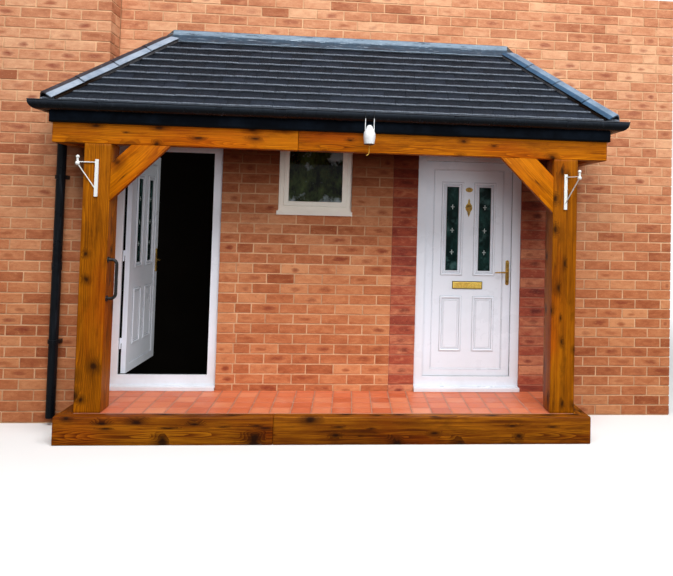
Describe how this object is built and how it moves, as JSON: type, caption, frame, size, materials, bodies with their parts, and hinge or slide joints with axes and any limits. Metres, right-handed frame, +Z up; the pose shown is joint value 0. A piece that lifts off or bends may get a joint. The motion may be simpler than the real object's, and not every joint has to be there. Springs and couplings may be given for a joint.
{
  "type": "hipped lean-to entrance porch",
  "caption": "Timber-framed entrance porch with a hipped tiled lean-to roof, tiled deck and doors in the brick wall behind.",
  "frame": {"origin": "middle of the underside of the deck, at ground level on the porch's centre line", "axes": "+X along the wall to the right as seen from outside, +Y into the house, +Z up"},
  "size_m": [5.8, 1.6915, 3.63],
  "materials": {
    "brickwork": "orange-brown wire-cut bricks with pale mortar",
    "infill_brickwork": "redder bricks with pale mortar",
    "glass": "clear sealed units with a dark interior behind",
    "brass": "polished, a little worn",
    "white_plastic": "white extruded plastic, satin gloss",
    "dark_timber": "stained sleepers, knots and checks",
    "fill": "rough fill",
    "quarry_tile": "matt red quarry tiles",
    "timber": "stained softwood, satin",
    "sawn_timber": "sawn softwood",
    "black_board": "black, satin",
    "black_plastic": "black, satin gloss",
    "roof_tile": "dark grey plain tiles, worn light at the edges",
    "hip_tile": "blue-grey hip tiles",
    "lead": "dull lead sheet",
    "white_metal": "white coated steel",
    "black_metal": "black painted iron",
    "white_plastic_fitting": "white moulded plastic"
  },
  "bodies": {
    "porch": {"bay_wall": "brickwork", "wall_middle": "brickwork", "wall_right": "brickwork", "walls_over_doors": "brickwork", "infill_piers": "infill_brickwork", "threshold_blocks": "brickwork", "left_door_frame": "white_plastic", "right_door_frame": "white_plastic", "door_sills": "white_plastic", "window_frame": "white_plastic", "window_sash": "white_plastic", "window_glass": "glass", "window_sill": "white_plastic", "front_sleepers": "dark_timber", "side_sleepers": "dark_timber", "deck_bed": "fill", "deck_tiles": "quarry_tile", "post_left": "timber", "post_right": "timber", "front_beams": "timber", "side_beams": "timber", "knee_braces": "timber", "ceiling": "timber", "wall_plate": "sawn_timber", "rafters": "sawn_timber", "fascia": "black_board", "roof_front": "roof_tile", "roof_sides": "roof_tile", "hip_tiles": "hip_tile", "lead_flashing": "lead", "front_gutter": "black_plastic", "side_gutters": "black_plastic", "downpipe": "black_plastic", "pipe_clips": "black_plastic", "basket_brackets": "white_metal", "grab_handle": "black_metal", "basket_hanger": "white_plastic_fitting"},
    "left_leaf": {"left_door_leaf": "white_plastic", "left_door_glass": "glass", "left_door_handles": "brass"},
    "right_leaf": {"right_door_leaf": "white_plastic", "right_door_glass": "glass", "right_door_handles": "brass", "letter_plate": "brass", "door_knocker": "brass"}
  },
  "joints": [
    {"name": "left_door_hinge", "type": "hinge", "parent": "porch", "child": "left_leaf", "pos_m": [-1.767, 0.501, 1.2], "axis": [0, 0, 1], "range_deg": [-88, 2]},
    {"name": "right_door_hinge", "type": "hinge", "parent": "porch", "child": "right_leaf", "pos_m": [0.73, 0.501, 1.2], "axis": [0, 0, 1], "range_deg": [0, 90]}
  ]
}
